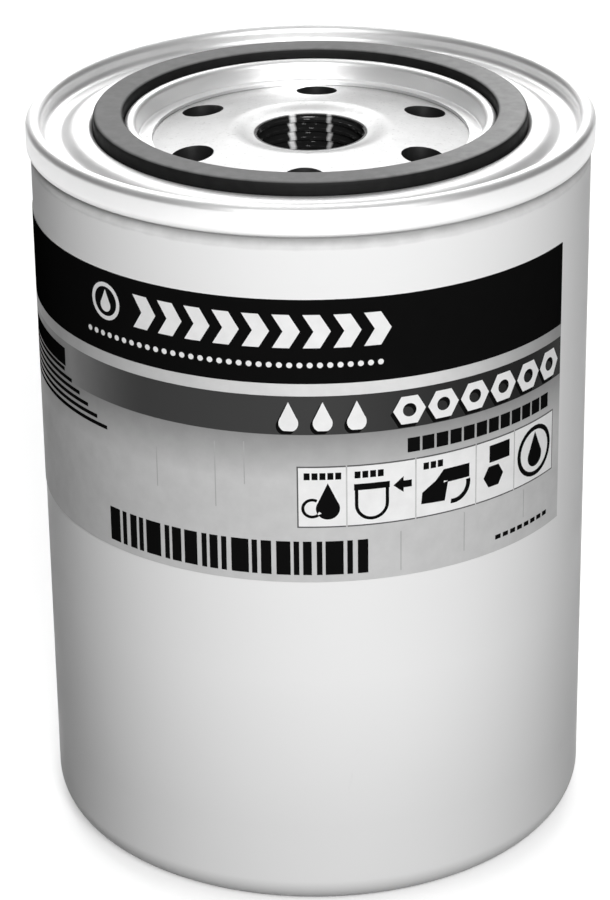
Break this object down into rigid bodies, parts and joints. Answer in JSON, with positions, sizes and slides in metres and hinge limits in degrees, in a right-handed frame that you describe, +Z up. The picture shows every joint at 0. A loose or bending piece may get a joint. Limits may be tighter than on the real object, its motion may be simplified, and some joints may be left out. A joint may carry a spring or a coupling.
{
  "type": "spin-on oil filter",
  "caption": "Spin-on oil filter: drawn can with rolled seam and label, face gasket round a threaded hub, and inside a pleated element on a spring with drain-back and bypass valves.",
  "frame": {"origin": "centre of the closed end, on the plane that the filter stands on", "axes": "+Z up along the filter's axis towards the threaded hub and the gasket; -Y is the front, the middle of the label's printed side; +X is to the right of it"},
  "size_m": [0.0943, 0.0942, 0.1265],
  "materials": {
    "can_paint": "gloss",
    "label_film": "satin",
    "lid_plating": "bright",
    "sealing_compound": "matte",
    "plate_steel": "satin",
    "gasket_rubber": "matte",
    "valve_rubber": "matte",
    "cap_plating": "satin",
    "potting": "satin",
    "filter_paper": "matte",
    "tube_steel": "satin",
    "spring_steel": "satin"
  },
  "bodies": {
    "housing": {"canister": "can_paint", "label_wrap": "label_film", "seaming_lid": "lid_plating", "seam_compound": "sealing_compound", "tapping_plate": "plate_steel", "gasket": "gasket_rubber", "drainback_valve_collar": "valve_rubber", "element_spring": "spring_steel"},
    "drainback_flap": {"drainback_valve_flap": "valve_rubber"},
    "element": {"top_end_cap": "cap_plating", "top_potting": "potting", "pleated_media": "filter_paper", "media_seam_clip": "tube_steel", "center_tube": "tube_steel", "bottom_potting": "potting", "bottom_end_cap": "cap_plating", "bypass_seat": "tube_steel", "bypass_spring": "spring_steel", "bypass_retainer": "tube_steel"},
    "bypass_valve": {"bypass_poppet": "tube_steel", "bypass_seal": "valve_rubber"}
  },
  "joints": [
    {"name": "drainback_open", "type": "slide", "parent": "housing", "child": "drainback_flap", "axis": [0, 0, -1], "range_m": [0, 0.0015], "stiffness_N_per_m": 1000, "springref_m": -0.0001},
    {"name": "element_float", "type": "slide", "parent": "housing", "child": "element", "axis": [0, 0, -1], "range_m": [0, 0.002], "stiffness_N_per_m": 8000, "springref_m": -0.0006, "deforming": ["element_spring"]},
    {"name": "bypass_open", "type": "slide", "parent": "element", "child": "bypass_valve", "axis": [0, 0, 1], "range_m": [0, 0.003], "stiffness_N_per_m": 4000, "deforming": ["bypass_spring"]}
  ]
}
